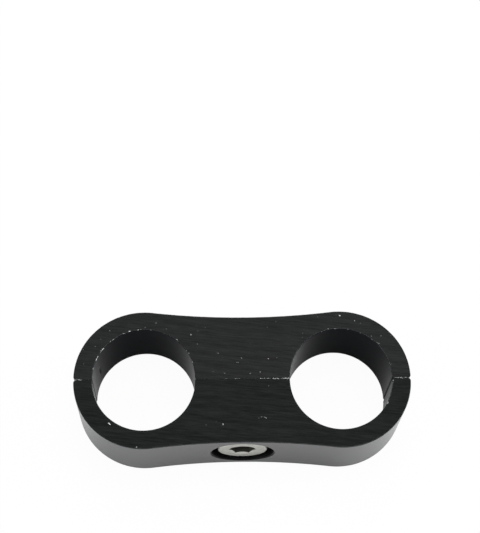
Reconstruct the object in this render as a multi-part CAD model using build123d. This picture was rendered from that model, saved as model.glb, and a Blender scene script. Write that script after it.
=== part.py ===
from build123d import *
import math
import os

# Twin tube clamp: two equal extruded aluminium halves close round two parallel tubes,
# pulled together by one socket head cap screw through the middle of the waist.
# Millimetres. +Z runs along the tubes, X from tube to tube, Y along the screw.
# The origin is at the middle of the bottom face. The front half is at -Y, the rear half at +Y.

# Extruded profile of a half
tube_spacing = 33.5  # centre to centre of the two tubes
bore_diameter = 17.4  # saddle that holds a tube
lobe_wall = 3.2  # wall round each tube
waist_dip = 1.0  # the waist lies this far under the crowns of the two lobes
arc_rise = 0.15  # saddle and lobe arcs are centred this far inside the half's parting face
tip_outer_radius = 0.5  # rounded outer corners where the halves meet
tip_inner_radius = 0.35  # rounded saddle corners where the halves meet
clamp_width = 13.0  # sawn length of the profile, along the tubes
edge_break = 0.1  # deburred edges of the sawn faces

# The clamp as it is closed
parting_gap = 0.1  # between the two parting faces

# Socket head cap screw, M5 x 12
thread_diameter = 5.0
thread_pitch = 0.8
screw_length = 12.0  # under the head
head_diameter = 8.5
head_height = 5.0
head_chamfer = 0.35  # turned edge of the head's face
neck_chamfer = 0.2  # between the head and the shank
knurl_count = 54  # grooves of the straight knurl
knurl_depth = 0.12
knurl_margin = 0.9  # plain band at each end of the knurl
socket_flats = 4.0  # across the flats of the hexagon
socket_depth = 2.5
socket_lead = 0.14  # the cone at the socket's mouth goes this far past the hexagon's corners
lead_angle = 120.0  # of that cone
drill_angle = 118.0  # point of the drilled holes

# Holes for the screw
head_recess = 0.4  # the head's face lies this far under the middle of the waist
head_clearance = 1.05  # round the head, in the counterbore
mouth_chamfer = 0.1  # deburred mouth of the counterbore
shank_clearance = 0.25  # round the shank, in the front half
thread_clearance = 0.05  # round the shank, in the rear half: the thread's play
tap_spare_depth = 1.5  # of the tapped hole past the screw's end
hole_lead = 0.3  # countersunk mouths on the parting faces

# Worked out from the values above
lobe_x = tube_spacing / 2
bore_radius = bore_diameter / 2
lobe_radius = bore_radius + lobe_wall
waist_half = lobe_radius - waist_dip
arc_y = parting_gap / 2 + arc_rise
# The waist arc touches both lobe circles from outside.
waist_radius = (lobe_x**2 + waist_half**2 - lobe_radius**2) / (2 * waist_dip)
waist_y = arc_y + waist_half  # the middle of the waist
waist_centre_y = waist_y + waist_radius
screw_z = clamp_width / 2
shank_radius = thread_diameter / 2
head_radius = head_diameter / 2
thread_depth = 0.6134 * thread_pitch
head_face_y = -waist_y + head_recess
head_seat_y = head_face_y + head_height
screw_end_y = head_seat_y + screw_length
counterbore_radius = head_radius + head_clearance
clearance_radius = shank_radius + shank_clearance
tapped_radius = shank_radius + thread_clearance
drill_slope = math.tan(math.radians(90 - drill_angle / 2))
lead_slope = math.tan(math.radians(90 - lead_angle / 2))


def half_profile():
    """The rear half's section: lobe arc, waist arc, lobe arc and parting face, less the two saddles."""
    low = math.asin(-arc_rise / lobe_radius)
    turn = math.atan2(waist_half + waist_radius, -lobe_x)
    corner = Vector(lobe_x + lobe_radius * math.cos(low), parting_gap / 2)
    side = Vector(lobe_x + lobe_radius, arc_y)
    meet = Vector(lobe_x + lobe_radius * math.cos(turn), arc_y + lobe_radius * math.sin(turn))
    middle = (low + turn) / 2
    crown = Vector(lobe_x + lobe_radius * math.cos(middle), arc_y + lobe_radius * math.sin(middle))

    def other(point):
        return Vector(-point.X, point.Y)

    with BuildSketch() as section:
        with BuildLine():
            ThreePointArc(corner, crown, meet)
            ThreePointArc(meet, Vector(0, waist_y), other(meet))
            ThreePointArc(other(meet), other(crown), other(corner))
            Line(other(corner), corner)
        make_face()
        tips = section.vertices().filter_by(lambda v: abs(v.Y - parting_gap / 2) < 1e-6)
        fillet(tips, tip_outer_radius)
        with Locations((-lobe_x, arc_y), (lobe_x, arc_y)):
            Circle(bore_radius, mode=Mode.SUBTRACT)
        reach = math.sqrt(bore_radius**2 - arc_rise**2)
        edges = section.vertices().filter_by(
            lambda v: abs(v.Y - parting_gap / 2) < 1e-6 and abs(abs(abs(v.X) - lobe_x) - reach) < 1e-4
        )
        fillet(edges, tip_inner_radius)
    return section.sketch


def sawn_half():
    """The profile sawn to length, with the edges of both sawn faces deburred."""
    block = extrude(half_profile(), clamp_width)
    ends = block.faces().filter_by(Axis.Z)
    return chamfer(ends.edges(), edge_break)


def turned(points):
    """A solid turned about the screw's axis. Each point is a radius and a place along Y."""
    outline = Polyline(*[(radius, along) for radius, along in points], close=True)
    return Pos(0, 0, screw_z) * revolve(make_face(outline), Axis.Y)


def make_rear_half():
    floor_y = screw_end_y + tap_spare_depth
    face_y = parting_gap / 2
    hole = turned(
        [
            (0, -parting_gap),
            (tapped_radius + hole_lead + parting_gap + face_y, -parting_gap),
            (tapped_radius, face_y + hole_lead),
            (tapped_radius, floor_y),
            (0, floor_y + tapped_radius * drill_slope),
        ]
    )
    return sawn_half() - hole


def make_front_half():
    block = Rot(0, 0, 180) * sawn_half()
    outside_y = -arc_y - lobe_radius
    face_y = -parting_gap / 2
    mouth = counterbore_radius + mouth_chamfer
    hole = turned(
        [
            (0, outside_y),
            (mouth - waist_y - outside_y, outside_y),
            (counterbore_radius, mouth_chamfer - waist_y),
            (counterbore_radius, head_seat_y),
            (clearance_radius, head_seat_y),
            (clearance_radius, face_y - hole_lead),
            (clearance_radius + hole_lead + parting_gap - face_y, parting_gap),
            (0, parting_gap),
        ]
    )
    return block - hole


def make_clamp_screw():
    body = turned(
        [
            (0, head_face_y),
            (head_radius - head_chamfer, head_face_y),
            (head_radius, head_face_y + head_chamfer),
            (head_radius, head_seat_y),
            (shank_radius + neck_chamfer, head_seat_y),
            (shank_radius, head_seat_y + neck_chamfer),
            (shank_radius, screw_end_y - thread_depth),
            (shank_radius - thread_depth, screw_end_y),
            (0, screw_end_y),
        ]
    )
    # The socket is drilled, then broached to a hexagon with two flats level with the sawn faces.
    corner_radius = socket_flats / 2 / math.cos(math.pi / 6)
    floor_y = head_face_y + socket_depth
    socket_plane = Plane(origin=(0, head_face_y, screw_z), x_dir=(1, 0, 0), z_dir=(0, 1, 0))
    hexagon = extrude(socket_plane * RegularPolygon(corner_radius, 6), socket_depth)
    lead_radius = corner_radius + socket_lead
    lead = turned(
        [
            (0, head_face_y - lead_radius * lead_slope),
            (2 * lead_radius, head_face_y - lead_radius * lead_slope),
            (0, head_face_y + lead_radius * lead_slope),
        ]
    )
    drill_point = turned(
        [
            (0, floor_y),
            (socket_flats / 2, floor_y),
            (0, floor_y + socket_flats / 2 * drill_slope),
        ]
    )
    # The knurl is a ring of V grooves along the head.
    groove_plane = Plane(origin=(0, head_face_y + knurl_margin, screw_z), x_dir=(1, 0, 0), z_dir=(0, 1, 0))
    groove_half = math.pi * head_radius / knurl_count
    groove = Polyline(
        (head_radius - knurl_depth, 0),
        (head_radius + knurl_depth, 2 * groove_half),
        (head_radius + knurl_depth, -2 * groove_half),
        close=True,
    )
    cutter = extrude(groove_plane * make_face(groove), head_height - 2 * knurl_margin)
    screw_axis = Axis((0, 0, screw_z), (0, 1, 0))
    grooves = [cutter.rotate(screw_axis, 360 / knurl_count * number) for number in range(knurl_count)]
    return body - hexagon - lead - drill_point - grooves


pieces = {
    "rear_half": make_rear_half(),
    "front_half": make_front_half(),
    "clamp_screw": make_clamp_screw(),
}
os.makedirs("parts", exist_ok=True)
for name, piece in pieces.items():
    export_step(piece, f"parts/{name}.step")
    print(name, "volume", round(piece.volume, 1))
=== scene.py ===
import math

import bmesh
import bpy
import numpy as np
from mathutils import Matrix, Vector


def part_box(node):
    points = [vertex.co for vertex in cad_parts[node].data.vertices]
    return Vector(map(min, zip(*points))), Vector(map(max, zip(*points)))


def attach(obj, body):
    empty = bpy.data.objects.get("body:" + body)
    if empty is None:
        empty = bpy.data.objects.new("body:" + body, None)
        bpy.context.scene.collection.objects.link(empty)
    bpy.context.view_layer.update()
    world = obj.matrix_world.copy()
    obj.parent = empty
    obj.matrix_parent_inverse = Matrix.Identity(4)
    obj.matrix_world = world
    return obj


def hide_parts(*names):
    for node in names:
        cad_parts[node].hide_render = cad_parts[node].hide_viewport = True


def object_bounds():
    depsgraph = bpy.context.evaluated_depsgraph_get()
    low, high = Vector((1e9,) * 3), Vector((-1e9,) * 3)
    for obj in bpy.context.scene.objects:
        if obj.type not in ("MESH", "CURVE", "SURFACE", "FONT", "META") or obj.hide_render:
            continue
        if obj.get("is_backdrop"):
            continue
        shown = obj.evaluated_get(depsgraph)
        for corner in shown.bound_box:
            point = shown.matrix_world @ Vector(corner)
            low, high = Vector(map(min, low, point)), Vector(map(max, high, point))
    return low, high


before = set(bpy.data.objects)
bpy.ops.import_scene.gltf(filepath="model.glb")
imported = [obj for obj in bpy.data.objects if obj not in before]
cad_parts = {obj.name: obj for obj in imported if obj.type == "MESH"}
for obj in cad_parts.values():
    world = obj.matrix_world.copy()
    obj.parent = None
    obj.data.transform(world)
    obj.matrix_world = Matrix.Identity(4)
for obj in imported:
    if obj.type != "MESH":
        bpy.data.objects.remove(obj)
boxes = {"cad": [list(corner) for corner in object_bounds()]}
cadLow, cadHigh = np.array(boxes["cad"])
print("frame loaded")

mm = 0.001  # every size below is in millimetres, and becomes metres when it reaches Blender
rearLow, rearHigh = [np.array(corner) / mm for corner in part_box("rear_half")]
screwLow, screwHigh = [np.array(corner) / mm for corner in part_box("clamp_screw")]
clampWidth = rearHigh[2] - rearLow[2]
screwZ = (screwLow[2] + screwHigh[2]) / 2
headFace, screwEnd = screwLow[1], screwHigh[1]


def linear(code):
    # sRGB hex to linear light: divided by 12.92 near black, a power of 2.4 above
    parts = [int(code[k:k + 2], 16) / 255 for k in (1, 3, 5)]
    return [p / 12.92 if p <= 0.04045 else ((p + 0.055) / 1.055) ** 2.4 for p in parts] + [1.0]


def addNode(tree, kind, inputs=None, **settings):
    # one node with its settings; an input is a value, or the output of another node
    node = tree.nodes.new(kind)
    for key, value in settings.items():
        setattr(node, key, value)
    for key, value in (inputs or {}).items():
        if isinstance(value, bpy.types.NodeSocket):
            tree.links.new(value, node.inputs[key])
        else:
            node.inputs[key].default_value = value
    return node


def newMaterial(name):
    material = bpy.data.materials.new(name)
    material.use_nodes = True
    material.node_tree.nodes.clear()
    return material, material.node_tree


def closeMaterial(tree, shader):
    addNode(tree, "ShaderNodeOutputMaterial", {"Surface": shader})


def spread(low, high, count, bunch=0.0):
    # even steps from low to high, drawn towards both ends by bunch
    step = np.linspace(0, 1, count)
    return low + (high - low) * (step - bunch * np.sin(2 * np.pi * step) / (2 * np.pi))


def smoothNoise(along, waves, seed):
    # a sum of sines of the given wavelengths, between about -1 and 1
    chance = np.random.RandomState(seed)
    total = sum(np.sin(2 * np.pi * (along / wave + chance.rand())) for wave in waves)
    return total / len(waves)


def roundAxis(radius, along, turn):
    # points at a radius and a place along Y for each angle about the screw's axis
    return np.stack([radius * np.cos(turn), along + 0 * turn, screwZ + radius * np.sin(turn)], -1)


def gridQuads(rows, columns, wrap):
    # corner numbers of every cell of a rows by columns grid
    across = np.arange(columns if wrap else columns - 1)
    down = np.arange(rows - 1)[:, None]
    nextOne = (across + 1) % columns
    cell = [down * columns + across, down * columns + nextOne,
            (down + 1) * columns + nextOne, (down + 1) * columns + across]
    return np.stack(cell, -1).reshape(-1, 4)


def edgeUse(mesh):
    # how many faces share each edge
    edges = np.zeros(len(mesh.loops), int)
    mesh.loops.foreach_get("edge_index", edges)
    return np.bincount(edges, minlength=len(mesh.edges))


seamReach, leastEdge = 0.0002 * mm, 0.00001 * mm


def meshFromGrids(name, grids, materials, sharpAngle):
    # grids of points in mm become one mesh; each is (points, material number, wraps round, bare metal)
    points, quads, finishes, bare, start = [], [], [], [], 0
    for shape, finish, wrap, worn in grids:
        rows, columns = shape.shape[:2]
        cells = gridQuads(rows, columns, wrap) + start
        points.append(shape.reshape(-1, 3))
        quads.append(cells)
        finishes.append(np.full(len(cells), finish))
        bare.append(np.broadcast_to(worn, (rows, columns)).reshape(-1))
        start += rows * columns
    points, quads = np.clip(np.concatenate(points) * mm, cadLow, cadHigh), np.concatenate(quads)
    mesh = bpy.data.meshes.new(name)
    mesh.vertices.add(len(points))
    mesh.vertices.foreach_set("co", points.ravel())
    mesh.loops.add(quads.size)
    mesh.loops.foreach_set("vertex_index", quads.ravel())
    mesh.polygons.add(len(quads))
    mesh.polygons.foreach_set("loop_start", np.arange(0, quads.size, 4))
    mesh.polygons.foreach_set("material_index", np.concatenate(finishes))
    for material in materials:
        mesh.materials.append(material)
    mesh.attributes.new("bareMetal", "FLOAT", "POINT").data.foreach_set("value", np.concatenate(bare))
    mesh.update(calc_edges=True)
    closed = bmesh.new()
    closed.from_mesh(mesh)
    # seams are closed, and cells that shrank to nothing where two edges meet are taken out
    bmesh.ops.remove_doubles(closed, verts=closed.verts, dist=seamReach)
    bmesh.ops.dissolve_degenerate(closed, edges=closed.edges, dist=leastEdge)
    bmesh.ops.recalc_face_normals(closed, faces=closed.faces)
    closed.to_mesh(mesh)
    closed.free()
    mesh.polygons.foreach_set("use_smooth", np.ones(len(mesh.polygons), bool))
    mesh.set_sharp_from_angle(angle=math.radians(sharpAngle))
    mesh.update()
    piece = bpy.data.objects.new(name, mesh)
    bpy.context.scene.collection.objects.link(piece)
    openEdges = np.count_nonzero(edgeUse(mesh) != 2)
    print(name, "triangles", len(mesh.loops) - 2 * len(mesh.polygons), "open edges", openEdges)
    return piece


bareMetal = dict(colour="#c4c5c4", roughness=0.5, grainSize=0.2, fadeFrom=0.92, fadeTo=1.3)


def bareMetalOver(tree, covering, extraBump, nicks=0.0):
    # the black skin gives way to bright, dull-edged aluminium where the attribute bareMetal or nicks is high,
    # broken up by fine noise
    where = addNode(tree, "ShaderNodeTexCoord").outputs["Object"]
    grain = addNode(tree, "ShaderNodeTexNoise", {
        "Vector": where, "Scale": 1 / (bareMetal["grainSize"] * mm), "Detail": 2.0})
    worn = addNode(tree, "ShaderNodeAttribute", attribute_name="bareMetal")
    worn = addNode(tree, "ShaderNodeMath", {0: worn.outputs["Fac"], 1: nicks}, operation="MAXIMUM")
    mixed = addNode(tree, "ShaderNodeMath", {0: worn.outputs[0], 1: grain.outputs["Fac"]}, operation="ADD")
    share = addNode(tree, "ShaderNodeMapRange", {
        "Value": mixed.outputs[0], "From Min": bareMetal["fadeFrom"], "From Max": bareMetal["fadeTo"]})
    metal = addNode(tree, "ShaderNodeBsdfPrincipled", {
        "Base Color": linear(bareMetal["colour"]), "Metallic": 1.0, "Roughness": bareMetal["roughness"],
        "Normal": extraBump})
    return addNode(tree, "ShaderNodeMixShader", {
        0: share.outputs["Result"], 1: covering, 2: metal.outputs["BSDF"]}).outputs[0]


# the saw's lines and the nicks are drawn a little coarser than real ones, so that they show
sawnFace = dict(lineGap=0.22, lineLength=3.0, grainSize=0.14, roughness=0.5, bumpDepth=0.012,
                bandShare=0.6, grainShare=0.5, toneFrom=0.82, toneTo=1.32,
                nickGap=1.5, nickSize=0.17, nickStrength=0.75)


def sawnBlackAnodised(name, darkTone, paleTone, gloss, lineTurn, nickChance):
    # anodised aluminium left as the cold saw cut it: fine slanting lines and a dull grey-black sheen
    material, tree = newMaterial(name)
    where = addNode(tree, "ShaderNodeTexCoord").outputs["Object"]
    turned = addNode(tree, "ShaderNodeMapping", {
        "Vector": where, "Rotation": (0, 0, math.radians(lineTurn)),
        "Scale": (sawnFace["lineLength"] * mm, sawnFace["lineGap"] * mm, mm)},
        vector_type="TEXTURE").outputs[0]
    lines = addNode(tree, "ShaderNodeTexNoise", {
        "Vector": turned, "Scale": 1.0, "Detail": 3.0, "Roughness": 0.6})
    bands = addNode(tree, "ShaderNodeTexNoise", {"Vector": turned, "Scale": 0.3, "Detail": 2.0})
    grain = addNode(tree, "ShaderNodeTexNoise", {
        "Vector": where, "Scale": 1 / (sawnFace["grainSize"] * mm), "Detail": 2.0})
    tone = addNode(tree, "ShaderNodeMath", {
        0: bands.outputs["Fac"], 1: sawnFace["bandShare"], 2: lines.outputs["Fac"]}, operation="MULTIPLY_ADD")
    tone = addNode(tree, "ShaderNodeMath", {
        0: grain.outputs["Fac"], 1: sawnFace["grainShare"], 2: tone.outputs[0]}, operation="MULTIPLY_ADD")
    ramp = addNode(tree, "ShaderNodeMapRange", {
        "Value": tone.outputs[0], "From Min": sawnFace["toneFrom"], "From Max": sawnFace["toneTo"]})
    colour = addNode(tree, "ShaderNodeMix", {
        0: ramp.outputs["Result"], 6: linear(darkTone), 7: linear(paleTone)}, data_type="RGBA")
    bump = addNode(tree, "ShaderNodeBump", {
        "Strength": 0.6, "Distance": sawnFace["bumpDepth"] * mm, "Height": tone.outputs[0]})
    skin = addNode(tree, "ShaderNodeBsdfPrincipled", {
        "Base Color": colour.outputs[2], "Roughness": sawnFace["roughness"], "IOR": 1.6,
        "Specular IOR Level": gloss, "Normal": bump.outputs[0]})
    # a tiny nick in about half of the cells of an uneven net, some fainter than others
    net = addNode(tree, "ShaderNodeTexVoronoi", {
        "Vector": where, "Scale": 1 / (sawnFace["nickGap"] * mm)}, voronoi_dimensions="2D")
    reach = sawnFace["nickSize"] / sawnFace["nickGap"]
    nick = addNode(tree, "ShaderNodeMapRange", {
        "Value": net.outputs["Distance"], "From Max": reach, "To Min": 1.0, "To Max": 0.0})
    chance = addNode(tree, "ShaderNodeSeparateColor", {0: net.outputs["Color"]})
    strength = addNode(tree, "ShaderNodeMapRange", {
        "Value": chance.outputs[0], "From Min": nickChance[0], "From Max": nickChance[1],
        "To Max": sawnFace["nickStrength"]})
    nick = addNode(tree, "ShaderNodeMath", {
        0: nick.outputs["Result"], 1: strength.outputs["Result"]}, operation="MULTIPLY")
    closeMaterial(tree, bareMetalOver(tree, skin.outputs["BSDF"], bump.outputs[0], nick.outputs[0]))
    return material


# die streaks run along the tubes; the etched grain is drawn coarser than real, so that it shows
extrudedWall = dict(streakGap=0.5, streakLength=12.0, grainSize=0.2, roughness=0.14, streakRoughness=0.02,
                    bumpDepth=0.003, leastGlint=0.45, mostGlint=0.61)


def extrudedBlackAnodised(name, tone, metallic, edgeTint, mattTone=None):
    # anodised aluminium as the die leaves it: a smooth satin that mirrors its surroundings softly, paler at a
    # slant, with faint streaks along the tubes
    material, tree = newMaterial(name)
    where = addNode(tree, "ShaderNodeTexCoord").outputs["Object"]
    across, lengthwise = [1 / (extrudedWall[key] * mm) for key in ("streakGap", "streakLength")]
    drawn = addNode(tree, "ShaderNodeMapping", {
        "Vector": where, "Scale": (across, across, lengthwise)}).outputs[0]
    streaks = addNode(tree, "ShaderNodeTexNoise", {"Vector": drawn, "Scale": 1.0, "Detail": 2.0})
    grain = addNode(tree, "ShaderNodeTexNoise", {
        "Vector": where, "Scale": 1 / (extrudedWall["grainSize"] * mm), "Detail": 1.0})
    rough = addNode(tree, "ShaderNodeMath", {
        0: streaks.outputs["Fac"], 1: extrudedWall["streakRoughness"], 2: extrudedWall["roughness"]},
        operation="MULTIPLY_ADD")
    # the etched grain glints a little more in some places than in others
    glint = addNode(tree, "ShaderNodeMapRange", {
        "Value": grain.outputs["Fac"], "From Min": 0.3, "From Max": 0.7,
        "To Min": extrudedWall["leastGlint"], "To Max": extrudedWall["mostGlint"]})
    height = addNode(tree, "ShaderNodeMath", {
        0: grain.outputs["Fac"], 1: 0.5, 2: streaks.outputs["Fac"]}, operation="MULTIPLY_ADD")
    bump = addNode(tree, "ShaderNodeBump", {
        "Strength": 0.5, "Distance": extrudedWall["bumpDepth"] * mm, "Height": height.outputs[0]})
    skin = addNode(tree, "ShaderNodeBsdfPrincipled", {
        "Base Color": linear(tone), "Roughness": rough.outputs[0], "Metallic": metallic,
        "Specular IOR Level": glint.outputs["Result"], "Specular Tint": linear(edgeTint),
        "Normal": bump.outputs[0]})
    shader = bareMetalOver(tree, skin.outputs["BSDF"], bump.outputs[0])
    if mattTone:
        # a matt share under the shine keeps a wall that mirrors little from turning pure black
        matt = addNode(tree, "ShaderNodeBsdfDiffuse", {"Color": linear(mattTone)})
        shader = addNode(tree, "ShaderNodeAddShader", {0: shader, 1: matt.outputs[0]}).outputs[0]
    closeMaterial(tree, shader)
    return material


# the dark colour and low index of refraction are painted shade, for the shade inside the holes
cutWall = dict(ringGap=0.12, bumpDepth=0.006, colour="#0c0d0e", roughness=0.45, indexOfRefraction=1.3)


def turnedBlackAnodisedShaded(name):
    # anodised aluminium cut by a counterbore or drill, with fine rings round the axis; its deep, dull black
    # is painted shade, for the shade inside the holes
    material, tree = newMaterial(name)
    where = addNode(tree, "ShaderNodeTexCoord").outputs["Object"]
    along = addNode(tree, "ShaderNodeSeparateXYZ", {0: where})
    rings = addNode(tree, "ShaderNodeTexNoise", {
        "W": along.outputs["Y"], "Scale": 1 / (cutWall["ringGap"] * mm), "Detail": 1.0},
        noise_dimensions="1D")
    bump = addNode(tree, "ShaderNodeBump", {
        "Strength": 0.5, "Distance": cutWall["bumpDepth"] * mm, "Height": rings.outputs["Fac"]})
    skin = addNode(tree, "ShaderNodeBsdfPrincipled", {
        "Base Color": linear(cutWall["colour"]), "Roughness": cutWall["roughness"],
        "IOR": cutWall["indexOfRefraction"], "Normal": bump.outputs[0]})
    closeMaterial(tree, skin.outputs["BSDF"])
    return material


screwSteel = dict(ringGap=0.09, mottleSize=0.4, roughnessSpread=0.07, bumpDepth=0.003)


def turnedSteel(name, tones, roughness):
    # plain steel with a thin oil film: soft grey, mottled, with faint turned rings on the head
    material, tree = newMaterial(name)
    where = addNode(tree, "ShaderNodeTexCoord").outputs["Object"]
    # the rings follow the distance from the screw's axis
    centred = addNode(tree, "ShaderNodeMapping", {
        "Vector": where, "Location": (0, 0, -screwZ * mm)}).outputs[0]
    flat = addNode(tree, "ShaderNodeVectorMath", {0: centred, 1: (1, 0, 1)}, operation="MULTIPLY").outputs[0]
    away = addNode(tree, "ShaderNodeVectorMath", {0: flat}, operation="LENGTH").outputs["Value"]
    rings = addNode(tree, "ShaderNodeTexNoise", {
        "W": away, "Scale": 1 / (screwSteel["ringGap"] * mm), "Detail": 1.0}, noise_dimensions="1D")
    mottle = addNode(tree, "ShaderNodeTexNoise", {
        "Vector": where, "Scale": 1 / (screwSteel["mottleSize"] * mm), "Detail": 3.0})
    vary = screwSteel["roughnessSpread"]
    rough = addNode(tree, "ShaderNodeMapRange", {
        "Value": mottle.outputs["Fac"], "From Min": 0.3, "From Max": 0.7,
        "To Min": roughness - vary, "To Max": roughness + vary})
    colour = addNode(tree, "ShaderNodeMix", {
        0: mottle.outputs["Fac"], 6: linear(tones[0]), 7: linear(tones[1])}, data_type="RGBA")
    bump = addNode(tree, "ShaderNodeBump", {
        "Strength": 0.5, "Distance": screwSteel["bumpDepth"] * mm, "Height": rings.outputs["Fac"]})
    steel = addNode(tree, "ShaderNodeBsdfPrincipled", {
        "Base Color": colour.outputs[2], "Metallic": 1.0, "Roughness": rough.outputs["Result"],
        "Normal": bump.outputs[0]})
    closeMaterial(tree, steel.outputs["BSDF"])
    return material


outerWall = extrudedBlackAnodised("extrudedBlackAnodised", "#191a1c", 0.0, "#ffffff")
# the inner walls are the extruded skin as a tinted metal that mirrors little face-on: painted shade, for the
# shade of the floor inside the bores
shadedSaddleWall = extrudedBlackAnodised("saddleBlackAnodisedShaded", "#262728", 1.0, "#b4b4b4", "#17181a")
shadedDrilledWall = turnedBlackAnodisedShaded("turnedBlackAnodisedShaded")
headSteel = turnedSteel("turnedPlainSteel", ("#a7a69e", "#dcdcd4"), 0.4)
# the socket's walls are the head's steel in darker tones: painted shade, for the shade deep in the socket
shadedSocketSteel = turnedSteel("socketSteelPaintedShade", ("#6a6962", "#7c7b74"), 0.6)
threadSteel = turnedSteel("rolledThreadSteel", ("#8f8e88", "#a9a8a0"), 0.35)
print("finishes made")


# the two halves meet closer than their solids do, so their arcs rise by what the gap loses; the patches are
# half the width of the rectangles round the holes
halfShape = dict(
    tubeSpacing=33.5, boreRadius=8.7, lobeWall=3.2, waistDip=1.0, arcRise=0.19,
    tipOuterRadius=0.5, tipInnerRadius=0.35, edgeBreak=0.1, partingBreak=0.03, partingGap=0.02,
    counterboreRadius=5.3, mouthChamfer=0.1, clearanceRadius=2.75, tappedRadius=2.55,
    holeLead=0.3, tapSpareDepth=1.5, headHeight=5.0, drillSlope=math.tan(math.radians(31)),
    waistPatch=6.9, webPatch=6.4,
    # how uneven the deburred edges are, how far from the parting face they sharpen, where they are rubbed,
    # and how deep bare marks reach
    swell=0.3, swellWaves=(3.1, 1.3, 0.62), sharpWithin=0.25,
    rubWaves=(2.3, 1.1, 0.57), rubGain=2, rubLeast=0.4, markDepth=0.15,
    # steps of the mesh along each run of the profile, up the walls and along the holes; the bunches draw
    # steps together near an edge, and the shares run across the counterbore's seat and down the drill's point
    steps=dict(
        patch=26, waist=60, lobe=96, tip=8, web=4, nearSaddle=48, farSaddle=96, edge=5, wall=24,
        wallBunch=0.75, cover=11, coverBunch=1.3, counterbore=7, clearance=5, tapped=9,
        seatShares=(0.03, 0.35, 0.7, 0.97, 1), seatEdge=0.05, pointShares=(0.3, 0.7, 1)),
    sharpAngle=38)
# the places of the four finishes in a half's list
finishOf = dict(outer=0, inner=1, sawn=2, drilled=3)

lobeX = halfShape["tubeSpacing"] / 2
boreRadius = halfShape["boreRadius"]
lobeRadius = boreRadius + halfShape["lobeWall"]
waistHalf = lobeRadius - halfShape["waistDip"]
gapHalf = halfShape["partingGap"] / 2
arcY = gapHalf + halfShape["arcRise"]
waistRadius = (lobeX ** 2 + waistHalf ** 2 - lobeRadius ** 2) / (2 * halfShape["waistDip"])
waistCentreY = arcY + waistHalf + waistRadius
headSeat = headFace + halfShape["headHeight"]
# shares of the way across a sawn face, from its outer edge to its inner edge, with the middle one at a half
faceSteps = np.concatenate([[0, 0.006], np.linspace(0.03, 0.97, 45), [0.994, 1]])
tipSteps = len(faceSteps) // 2


def arcRun(centre, radius, start, end, steps, side=1):
    # points of one arc with the normal that leaves the metal: centre plus radius times the ray
    angle = np.linspace(start, end, steps + 1)
    ray = np.stack([np.cos(angle), np.sin(angle)], 1)
    return np.hstack([np.array(centre) + radius * ray, side * ray])


def flatRun(x):
    # points of the parting face, whose normal is -Y
    return np.stack([x, np.full_like(x, gapHalf), np.zeros_like(x), -np.ones_like(x)], 1)


def chain(runs):
    # right side from the middle to the tip, then its mirror image put in front
    right = np.vstack([runs[0]] + [run[1:] for run in runs[1:]])
    left = right[:0:-1] * np.array([-1, 1, -1, 1])
    return np.vstack([left, right])


def halfChains():
    # outer and inner sides of the profile, from the left tip to the right tip, with as many points each
    tipOuter, tipInner = halfShape["tipOuterRadius"], halfShape["tipInnerRadius"]
    outerY, innerY = gapHalf + tipOuter, gapHalf + tipInner
    outerReach = math.sqrt((lobeRadius - tipOuter) ** 2 - (outerY - arcY) ** 2)
    innerReach = math.sqrt((boreRadius + tipInner) ** 2 - (innerY - arcY) ** 2)
    outerTurn = math.atan2(outerY - arcY, outerReach)
    innerTurn = math.atan2(innerY - arcY, innerReach)
    # the parting face of a tip has the steps of the sawn face that ends on it
    tipX = lobeX + outerReach + (innerReach - outerReach) * faceSteps
    meetTurn = math.atan2(waistHalf + waistRadius, -lobeX)
    waistEnd = -math.pi / 2 + math.asin((lobeX + lobeRadius * math.cos(meetTurn)) / waistRadius)
    patchEnd = -math.pi / 2 + math.asin(halfShape["waistPatch"] / waistRadius)
    # the steps of the far part of the saddle are finer, which is the part that shows
    saddleTurn = math.radians(100)
    steps = halfShape["steps"]
    outer = chain([
        arcRun((0, waistCentreY), waistRadius, -math.pi / 2, patchEnd, steps["patch"], -1),
        arcRun((0, waistCentreY), waistRadius, patchEnd, waistEnd, steps["waist"], -1),
        arcRun((lobeX, arcY), lobeRadius, meetTurn, outerTurn, steps["lobe"]),
        arcRun((lobeX + outerReach, outerY), tipOuter, outerTurn, -math.pi / 2, steps["tip"]),
        flatRun(tipX[:tipSteps + 1])])
    inner = chain([
        flatRun(np.linspace(0, halfShape["webPatch"], steps["patch"] + 1)),
        flatRun(np.linspace(halfShape["webPatch"], lobeX - innerReach, steps["web"] + 1)),
        arcRun((lobeX - innerReach, innerY), tipInner, -math.pi / 2, -innerTurn, steps["tip"]),
        arcRun((lobeX, arcY), boreRadius, math.pi - innerTurn, saddleTurn, steps["nearSaddle"], -1),
        arcRun((lobeX, arcY), boreRadius, saddleTurn, innerTurn, steps["farSaddle"], -1),
        arcRun((lobeX + innerReach, innerY), tipInner, math.pi + innerTurn, 1.5 * math.pi, steps["tip"]),
        flatRun(tipX[:tipSteps - 1:-1])])
    return outer, inner


def wornAt(points, marks):
    # bare metal along each mark (x, y, x, y, radius, strength): strength times a bell curve of the
    # distance to the nearest place on the line between its two ends; a dot's line has no length, so the
    # divisor is kept above nothing
    start, end, radius, strength = np.split(np.array(marks, float), (2, 4, 5), axis=1)
    span = end - start
    away = points[..., None, :2] - start
    share = np.clip((away * span).sum(-1) / np.maximum((span ** 2).sum(-1), 1e-9), 0, 1)
    away = ((away - share[..., None] * span) ** 2).sum(-1)
    return np.minimum((strength[:, 0] * np.exp(-away / radius[:, 0] ** 2)).sum(-1), 1)


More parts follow.
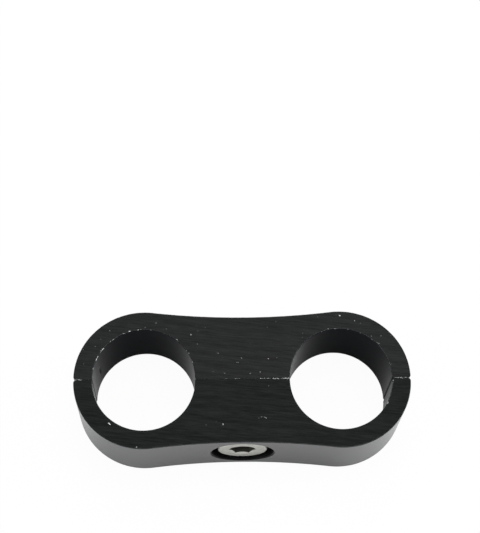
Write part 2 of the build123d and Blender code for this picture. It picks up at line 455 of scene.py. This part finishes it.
def makeHalf(name, body, turnSign, holes, materials, marks, gouges, rimWear, seed):
    # turnSign is 1 for the rear half and -1 for the front half, which is the same profile turned half round;
    # a gouge presses the saddle's wall in by its depth times a bell curve of the distance
    outer, inner = halfChains()
    faceOf = {"waist": lambda x: waistCentreY - np.sqrt(waistRadius ** 2 - x ** 2),
              "web": lambda x: 0 * x + gapHalf}
    steps, grids = halfShape["steps"], []

    def put(shape, finish, wrap=False, worn=0):
        # the marks are on the top, and fade with the depth under it
        shape = shape * np.array([turnSign, turnSign, 1])
        fade = np.exp((shape[..., 2] - clampWidth) / halfShape["markDepth"])
        grids.append((shape, finish, wrap, wornAt(shape, marks) * fade + worn))

    breaks, edgePoints, rubbed = {}, {}, {}
    for side, line in (("outer", outer), ("inner", inner)):
        along = np.concatenate([[0], np.cumsum(np.hypot(*np.diff(line[:, :2], axis=0).T))])
        for end in (0, 1):
            # the deburred edge swells and thins a little along its length
            uneven = smoothNoise(along, halfShape["swellWaves"], seed + 7 * end + 3 * (side == "inner"))
            size = halfShape["edgeBreak"] * (1 + halfShape["swell"] * uneven)
            # the corners of the parting face are nearly sharp
            parting = np.clip(1 - (line[:, 1] - gapHalf) / halfShape["sharpWithin"], 0, 1)
            breaks[side, end] = size + (halfShape["partingBreak"] - size) * parting
            # only the top's edges are rubbed bare
            rubs = smoothNoise(along, halfShape["rubWaves"], seed + 5 + (side == "inner"))
            rubs = np.clip(halfShape["rubGain"] * rubs - halfShape["rubLeast"], 0, 1)
            rubbed[side, end] = end * rimWear[side] * rubs
    quarter = np.linspace(0, math.pi / 2, steps["edge"] + 1)[:, None]
    for side, line in (("outer", outer), ("inner", inner)):
        for end in (0, 1):
            size = breaks[side, end]
            inset, lift = size * (1 - np.cos(quarter)), size * (1 - np.sin(quarter))
            flat = line[:, :2] - inset[..., None] * line[:, 2:]
            height = lift if end == 0 else clampWidth - lift
            strip = np.concatenate([flat, height[..., None]], -1)
            edgePoints[side, end] = strip
            put(strip, finishOf[side], worn=rubbed[side, end] * np.sin(2 * quarter))
    # sawn faces: straight lines from the outer edge to the inner edge, the last ones along the parting faces
    across = faceSteps[:, None, None]
    for end in (0, 1):
        first, last = [edgePoints[side, end][-1, tipSteps:-tipSteps] for side in ("outer", "inner")]
        put(first * (1 - across) + last * across, finishOf["sawn"])
    # walls between the two broken edges; a wall with a hole leaves a rectangle for it
    levels = spread(0, 1, steps["wall"] + 1, steps["wallBunch"])[:, None, None]
    for side, line, patch in (("outer", outer, "waist"), ("inner", inner, "web")):
        low, high = edgePoints[side, 0][0], edgePoints[side, 1][0]
        wall = low * (1 - levels) + high * levels
        for place, width, height, depth in (gouges if side == "inner" else ()):
            away = ((wall - place) / (width, width, height)) ** 2
            wall[..., :2] -= depth * np.exp(-away.sum(-1))[..., None] * line[:, 2:]
        middle, reach = len(line) // 2, steps["patch"]
        if patch not in holes:
            put(wall, finishOf[side])
            continue
        put(wall[:, :middle - reach + 1], finishOf[side])
        put(wall[:, middle + reach:], finishOf[side])
        # from the hole's rim out to the rectangle's edge, by straight lines laid on the face
        window = wall[:, middle - reach:middle + reach + 1]
        ring = np.concatenate([window[:-1, -1], window[-1, :0:-1], window[:0:-1, 0], window[0, :-1]])
        turn = np.arctan2(ring[:, 2] - screwZ, ring[:, 0])
        rim = roundAxis(holes[patch]["radius"](turn), 0, turn)
        rim[:, 1] = faceOf[patch](rim[:, 0])
        outwards = (np.linspace(0, 1, steps["cover"] + 1) ** steps["coverBunch"])[:, None, None]
        cover = rim * (1 - outwards) + ring * outwards
        cover[..., 1] = faceOf[patch](cover[..., 0])
        cover[-1] = ring
        put(cover, finishOf[side], True)
        holes[patch]["turn"], holes[patch]["rim"] = turn, rim

    def bore(rings, start):
        # a hole's wall from ring to ring: each has a radius, a place along Y, and the share by which its
        # angles have passed from the start's to the web's
        turnFrom, turnTo = start["turn"], holes["web"]["turn"]
        shape = [start["rim"]]
        for radius, along, share in rings:
            shape.append(roundAxis(radius, along, turnFrom + (turnTo - turnFrom) * share))
        return shape

    lead, web = halfShape["holeLead"], holes["web"]
    if "waist" in holes:
        # counterbore, the seat under the head, and the clearance hole
        bored, clear = halfShape["counterboreRadius"], halfShape["clearanceRadius"]
        top, seat = arcY + waistHalf - halfShape["mouthChamfer"], -headSeat
        deep = np.linspace(seat - steps["seatEdge"], gapHalf + lead, steps["clearance"] + 1)
        rings = bore([(bored, y, 0) for y in np.linspace(top, seat, steps["counterbore"] + 1)] +
                     [(bored + (clear - bored) * share, seat, share) for share in steps["seatShares"]] +
                     [(clear, y, 1) for y in deep], holes["waist"]) + [web["rim"]]
    else:
        # tapped hole and the drill's point
        tapped, floor = halfShape["tappedRadius"], screwEnd + halfShape["tapSpareDepth"]
        slope = halfShape["drillSlope"]
        rings = bore([(tapped, y, 0) for y in np.linspace(gapHalf + lead, floor, steps["tapped"] + 1)] +
                     [(tapped * (1 - share), floor + tapped * share * slope, 0)
                      for share in steps["pointShares"]], web)
    put(np.stack(rings), finishOf["drilled"], True)
    piece = meshFromGrids(name, grids, materials, halfShape["sharpAngle"])
    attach(piece, body)
    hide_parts(body)


def mouthRadius(turn):
    # the counterbore's 45 degree mouth opens as the waist's face rises: the radius is put back in three times
    least = halfShape["counterboreRadius"] + halfShape["mouthChamfer"]
    radius = least + 0 * turn
    for _ in range(3):
        radius = least + waistRadius - np.sqrt(waistRadius ** 2 - (radius * np.cos(turn)) ** 2)
    return radius


def dots(*spots):
    # a dot is a scratch whose two ends are one place
    return [(x, y, x, y, radius, strength) for x, y, radius, strength in spots]


# bare marks on the tops, in mm: a dot is (x, y, radius, strength) and a scratch, which has two ends, is
# (x, y, x, y, radius, strength)
rearMarks = dots(
    # on the lobes
    (-25.3, 2.0, 0.18, 0.6), (-27.0, 2.85, 0.16, 0.5), (-26.95, 2.1, 0.14, 0.5), (-25.05, 5.95, 0.14, 0.5),
    (-16.8, 10.0, 0.14, 0.5), (-15.5, 9.9, 0.13, 0.5), (-13.95, 9.9, 0.13, 0.52), (-13.0, 9.0, 0.16, 0.58),
    (-13.5, 9.05, 0.12, 0.5), (19.5, 10.4, 0.14, 0.62), (17.0, 11.3, 0.18, 0.85), (20.5, 9.85, 0.12, 0.5),
    (25.6, 7.6, 0.16, 0.6),
    # on the web
    (-4.2, 4.54, 0.2, 0.8), (-5.05, 1.3, 0.17, 0.6), (2.4, 2.8, 0.17, 0.62), (-8.75, 8.0, 0.18, 0.75),
    (-7.4, 6.1, 0.15, 0.5),
    # along the rims of the two bores
    (-20.3, 8.26, 0.18, 0.65), (-13.2, 8.26, 0.16, 0.6), (14.4, 8.6, 0.2, 0.72), (19.1, 8.4, 0.14, 0.5),
    (23.86, 4.86, 0.18, 0.72)) + [
    # on the left lobe and on the web
    (-14.75, 10.1, -14.7, 10.2, 0.15, 0.62), (-1.0, 2.9, -0.8, 2.9, 0.15, 0.56),
    # rubs and burrs along the left bore's rim
    (-24.95, 2.9, -25.2, 2.0, 0.12, 0.6), (-24.5, 4.1, -24.85, 3.25, 0.15, 0.95),
    (-23.68, 5.42, -24.2, 4.75, 0.11, 0.64), (-23.65, 5.45, -23.75, 5.35, 0.16, 0.75),
    (-22.58, 6.7, -21.2, 7.7, 0.1, 0.62), (-19.35, 8.62, -19.2, 8.66, 0.16, 0.75),
    (-17.8, 8.93, -17.2, 9.0, 0.1, 0.5), (-11.3, 7.2, -11.0, 7.0, 0.12, 0.52),
    # rubs along the right bore's rim
    (16.2, 8.88, 17.3, 8.84, 0.1, 0.5), (21.75, 7.2, 22.1, 7.0, 0.14, 0.56),
    (23.1, 6.4, 23.7, 6.15, 0.12, 0.52),
    # the parting line
    (-28.4, 0.1, -27.2, 0.05, 0.1, 0.52), (-3.1, 0.05, -2.5, 0.05, 0.07, 0.5),
    (-1.4, 0.05, -0.5, 0.05, 0.07, 0.5), (2.9, 0.05, 4.7, 0.05, 0.07, 0.58),
    (5.1, 0.05, 6.3, 0.05, 0.07, 0.62), (6.8, 0.05, 8.0, 0.05, 0.08, 0.72),
    (25.9, 0.05, 28.4, 0.05, 0.07, 0.54)]
frontMarks = dots(
    (-6.2, -8.0, 0.15, 0.58), (-17.8, -11.8, 0.18, 0.7), (-6.9, -2.2, 0.14, 0.52),
    (0.65, -7.1, 0.13, 0.5)) + [
    (-22.5, -7.66, -22.3, -7.75, 0.18, 0.8), (-3.5, -8.1, -3.45, -7.9, 0.17, 0.75),
    # a smear on the web
    (2.5, -6.85, 3.5, -6.65, 0.2, 0.46), (3.7, -6.8, 4.0, -7.1, 0.14, 0.47),
    # burrs along the right bore's corner
    (25.65, -0.3, 25.3, -1.8, 0.1, 0.52), (25.2, -1.9, 24.75, -3.5, 0.16, 0.6),
    (24.4, -4.5, 24.5, -4.2, 0.18, 0.7),
    # the parting line
    (-28.4, -0.1, -27.3, -0.05, 0.08, 0.45), (5.0, -0.05, 8.0, -0.05, 0.07, 0.55),
    (26.4, -0.05, 27.4, -0.05, 0.07, 0.48)]

# a gouge in the left saddle: its place, width, height and depth
rearGouges = [((-24.64, 3.88, 5.9), 0.14, 1.3, 0.2)]

rearTop = sawnBlackAnodised("sawnBlackAnodisedRear", "#0f1010", "#242625", 0.06, -7.3, (0.55, 1.0))
frontTop = sawnBlackAnodised("sawnBlackAnodisedFront", "#0e1010", "#222524", 0.03, -5.0, (0.7, 1.1))
rearHoles = {"web": {"radius": lambda turn: halfShape["tappedRadius"] + halfShape["holeLead"] + 0 * turn}}
frontHoles = {
    "waist": {"radius": mouthRadius},
    "web": {"radius": lambda turn: halfShape["clearanceRadius"] + halfShape["holeLead"] + 0 * turn}}
makeHalf("clampRearHalf", "rear_half", 1, rearHoles, [outerWall, shadedSaddleWall, rearTop, shadedDrilledWall],
         rearMarks, rearGouges, dict(outer=0.45, inner=0.75), 3)
makeHalf("clampFrontHalf", "front_half", -1, frontHoles, [outerWall, shadedSaddleWall, frontTop, shadedDrilledWall],
         frontMarks, [], dict(outer=0.5, inner=0.4), 11)
print("halves made")


# an M5 screw. The thread's depth is a share of the pitch, and so are its flat crest and its two flanks. Head
# and shank are closed bodies that run into each other: the head's cap and the shank's top are both hidden
screwShape = dict(
    headRadius=4.25, headChamfer=0.35, seatChamfer=0.12, neckRadius=2.7, neckDepth=0.2,
    knurlCount=54, knurlDepth=0.12, knurlMargin=0.9, knurlFadeOut=0.06, knurlFadeIn=0.12,
    socketFlats=4.0, socketDepth=2.5, socketLead=0.14, leadSlope=math.tan(math.radians(30)),
    drillSlope=math.tan(math.radians(31)), shankRadius=2.5, pitch=0.8, threadStart=1.0,
    depthShare=0.6134, crestShare=1 / 8, flankShare=5 / 8, capRadius=2.0, capDepth=0.7, shankSunk=0.3,
    # points round, eight to a groove of the knurl, and rows of points
    steps=dict(round=432, shankRound=96, shankRows=226, socketRows=7, faceRows=6, chamferRows=7,
               pointShares=(0, 0.33, 0.66, 1), faceEdge=(0.03, 0.02)),
    sharpAngle=32)


def makeScrew():
    s, steps = screwShape, screwShape["steps"]
    turn = np.arange(steps["round"]) * 2 * math.pi / steps["round"]
    half = s["socketFlats"] / 2
    # the hexagon has corners at +X and -X: half the flats over the cosine of the angle to the nearest flat
    flatAngle = (turn % (math.pi / 3)) - math.pi / 6
    hexagon = half / np.cos(flatAngle)
    leadRadius = half / math.cos(math.pi / 6) + s["socketLead"]
    floor = headFace + s["socketDepth"]
    rows = []
    for share in steps["pointShares"]:
        rows.append(roundAxis(half * share, floor + half * (1 - share) * s["drillSlope"], turn))
    rows.append(roundAxis(hexagon, floor, turn))
    # the lead's cone cuts into the corners of the hexagon, and its mouth is a circle
    mouth = headFace + (leadRadius - hexagon) * s["leadSlope"]
    for share in np.linspace(0, 1, steps["socketRows"]):
        rows.append(roundAxis(hexagon, floor + (mouth - floor) * share, turn))
    socket, rows = np.stack(rows), [rows[-1], roundAxis(leadRadius, headFace, turn)]
    edge, (inner, outer) = s["headRadius"] - s["headChamfer"], steps["faceEdge"]
    for radius in np.linspace(leadRadius + inner, edge - outer, steps["faceRows"]):
        rows.append(roundAxis(radius, headFace, turn))
    for angle in np.linspace(0, math.pi / 2, steps["chamferRows"]):
        rows.append(roundAxis(edge + s["headChamfer"] * math.sin(angle),
                              headFace + s["headChamfer"] * (1 - math.cos(angle)), turn))
    # straight knurl: the radius drops to a V between crests, and the V fades out at both ends
    step = 2 * math.pi / s["knurlCount"]
    groove = 1 - np.abs((turn + step / 2) % step - step / 2) / (step / 2)
    low, high = headFace + s["knurlMargin"], headSeat - s["knurlMargin"]
    fadeOut, fadeIn = s["knurlFadeOut"], s["knurlFadeIn"]
    for along, depth in ((low - fadeOut, 0), (low + fadeIn, 1), ((low + high) / 2, 1),
                         (high - fadeIn, 1), (high + fadeOut, 0)):
        rows.append(roundAxis(s["headRadius"] - s["knurlDepth"] * depth * groove, along, turn))
    cap = headSeat + s["capDepth"]
    for radius, along in ((s["headRadius"], headSeat - s["seatChamfer"]),
                          (s["headRadius"] - s["seatChamfer"], headSeat), (s["neckRadius"], headSeat),
                          (s["capRadius"], cap), (0, cap)):
        rows.append(roundAxis(radius, along, turn))
    head = np.stack(rows)

    # right-hand thread: the crest moves one pitch along Y for a turn, and the flanks slope 30 degrees
    turn = np.arange(steps["shankRound"]) * 2 * math.pi / steps["shankRound"]
    along = np.concatenate([
        [headSeat - s["shankSunk"], headSeat - s["shankSunk"], headSeat],
        np.linspace(headSeat + s["neckDepth"], screwEnd, steps["shankRows"]), [screwEnd]])[:, None]
    phase = (along / s["pitch"] + turn / (2 * math.pi)) % 1
    fall = np.clip((np.abs(phase - 0.5) * 2 - s["crestShare"]) / s["flankShare"], 0, 1)
    depth = s["depthShare"] * s["pitch"]
    runIn = np.clip((along - headSeat - s["threadStart"]) / s["pitch"], 0, 1)
    radius = s["shankRadius"] - depth * fall * runIn
    # the point is bevelled at 45 degrees, as deep as the thread
    radius = np.minimum(radius, s["shankRadius"] - depth + np.clip(screwEnd - along, 0, depth))
    radius[2] = s["neckRadius"]
    radius[0], radius[1], radius[-1] = 0, s["neckRadius"], 0
    shank = roundAxis(radius, along, turn)
    finishes = [headSteel, shadedSocketSteel, threadSteel]
    grids = [(socket, 1, True, 0), (head, 0, True, 0), (shank, 2, True, 0)]
    piece = meshFromGrids("socketHeadScrew", grids, finishes, s["sharpAngle"])
    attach(piece, "clamp_screw")
    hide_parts("clamp_screw")


makeScrew()
print("screw made")


# metres; a lamp is its place, width, height and power, and looks at the origin
studio = dict(
    floorSize=4.0, floorColour="#f4f4f4", floorGlow=0.96, glossGlow=0.2,
    worldColour="#f2f4f7", worldStrength=0.35,
    lamps=dict(
        overheadSoftbox=((0.08, 0.12, 0.75), 0.4, 0.4, 2.85),
        rightSoftbox=((0.6, 0.1, 0.3), 0.4, 0.4, 1.7),
        leftSoftbox=((-0.6, -0.1, 0.3), 0.4, 0.4, 1.3),
        backSoftbox=((0.0, 0.5, 0.55), 0.4, 0.3, 1.1)))


def makeFloor():
    # plain pale table top: it shows itself white to the camera and in gloss, and keeps a soft shadow
    half = studio["floorSize"] / 2
    mesh = bpy.data.meshes.new("studioFloor")
    mesh.from_pydata([(-half, -half, 0), (half, -half, 0), (half, half, 0), (-half, half, 0)],
                     [], [(0, 1, 2, 3)])
    floor = bpy.data.objects.new("studioFloor", mesh)
    bpy.context.scene.collection.objects.link(floor)
    material, tree = newMaterial("paleTableTop")
    matt = addNode(tree, "ShaderNodeBsdfDiffuse", {"Color": linear(studio["floorColour"])})
    glow = addNode(tree, "ShaderNodeEmission", {"Color": (1, 1, 1, 1), "Strength": 1.0})
    ray = addNode(tree, "ShaderNodeLightPath").outputs
    bounced = addNode(tree, "ShaderNodeMath", {
        0: ray["Is Glossy Ray"], 1: ray["Is Transmission Ray"]}, operation="MAXIMUM")
    bounced = addNode(tree, "ShaderNodeMath", {
        0: bounced.outputs[0], 1: studio["glossGlow"]}, operation="MULTIPLY")
    share = addNode(tree, "ShaderNodeMath", {
        0: ray["Is Camera Ray"], 1: studio["floorGlow"]}, operation="MULTIPLY")
    share = addNode(tree, "ShaderNodeMath", {0: share.outputs[0], 1: bounced.outputs[0]}, operation="MAXIMUM")
    mixed = addNode(tree, "ShaderNodeMixShader", {
        0: share.outputs[0], 1: matt.outputs[0], 2: glow.outputs[0]})
    closeMaterial(tree, mixed.outputs[0])
    mesh.materials.append(material)
    floor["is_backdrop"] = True


def makeLamp(name, place, width, height, power):
    data = bpy.data.lights.new(name, "AREA")
    data.shape, data.size, data.size_y, data.energy = "RECTANGLE", width, height, power
    lamp = bpy.data.objects.new(name, data)
    bpy.context.scene.collection.objects.link(lamp)
    lamp.location = place
    lamp.visible_camera = False
    lamp.rotation_euler = Vector(place).to_track_quat("Z", "Y").to_euler()


makeFloor()
for name, lamp in studio["lamps"].items():
    makeLamp(name, *lamp)

world = bpy.data.worlds.new("softStudio")
bpy.context.scene.world = world
world.use_nodes = True
world.node_tree.nodes.clear()
sky = addNode(world.node_tree, "ShaderNodeBackground", {
    "Color": linear(studio["worldColour"]), "Strength": studio["worldStrength"]})
addNode(world.node_tree, "ShaderNodeOutputWorld", {"Surface": sky.outputs[0]})

# the camera's turn round the object, its height and its own tilt in degrees, and in mm the lens, the sensor
# and where the object sits before it; it sees from near to far, in metres
cameraSetup = dict(azimuth=-4.3911, elevation=67.7276, roll=3.8047, lens=95.33, sensor=36,
                   distance=245.378, aside=0.274, below=21.499, near=0.01, far=20)


def makeCamera():
    c = cameraSetup
    turn, rise, tilt = [math.radians(c[k]) for k in ("azimuth", "elevation", "roll")]
    back = Vector((math.sin(turn) * math.cos(rise), -math.cos(turn) * math.cos(rise), math.sin(rise)))
    level = Vector((math.cos(turn), math.sin(turn), 0))
    upright = back.cross(level)
    right = math.cos(tilt) * level + math.sin(tilt) * upright
    up = math.cos(tilt) * upright - math.sin(tilt) * level
    centre = Vector((0, 0, clampWidth / 2))
    place = centre - right * c["aside"] + up * c["below"] + back * c["distance"]
    data = bpy.data.cameras.new("studioCamera")
    data.lens, data.sensor_width, data.sensor_fit = c["lens"], c["sensor"], "AUTO"
    data.clip_start, data.clip_end = c["near"], c["far"]
    camera = bpy.data.objects.new("studioCamera", data)
    bpy.context.scene.collection.objects.link(camera)
    camera.matrix_world = Matrix.Translation(place * mm) @ Matrix((right, up, back)).transposed().to_4x4()
    bpy.context.scene.camera = camera


makeCamera()
bpy.context.scene.view_settings.view_transform = "Standard"
print("floor, light and camera made")

boxes["visual"] = [list(corner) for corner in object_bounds()]
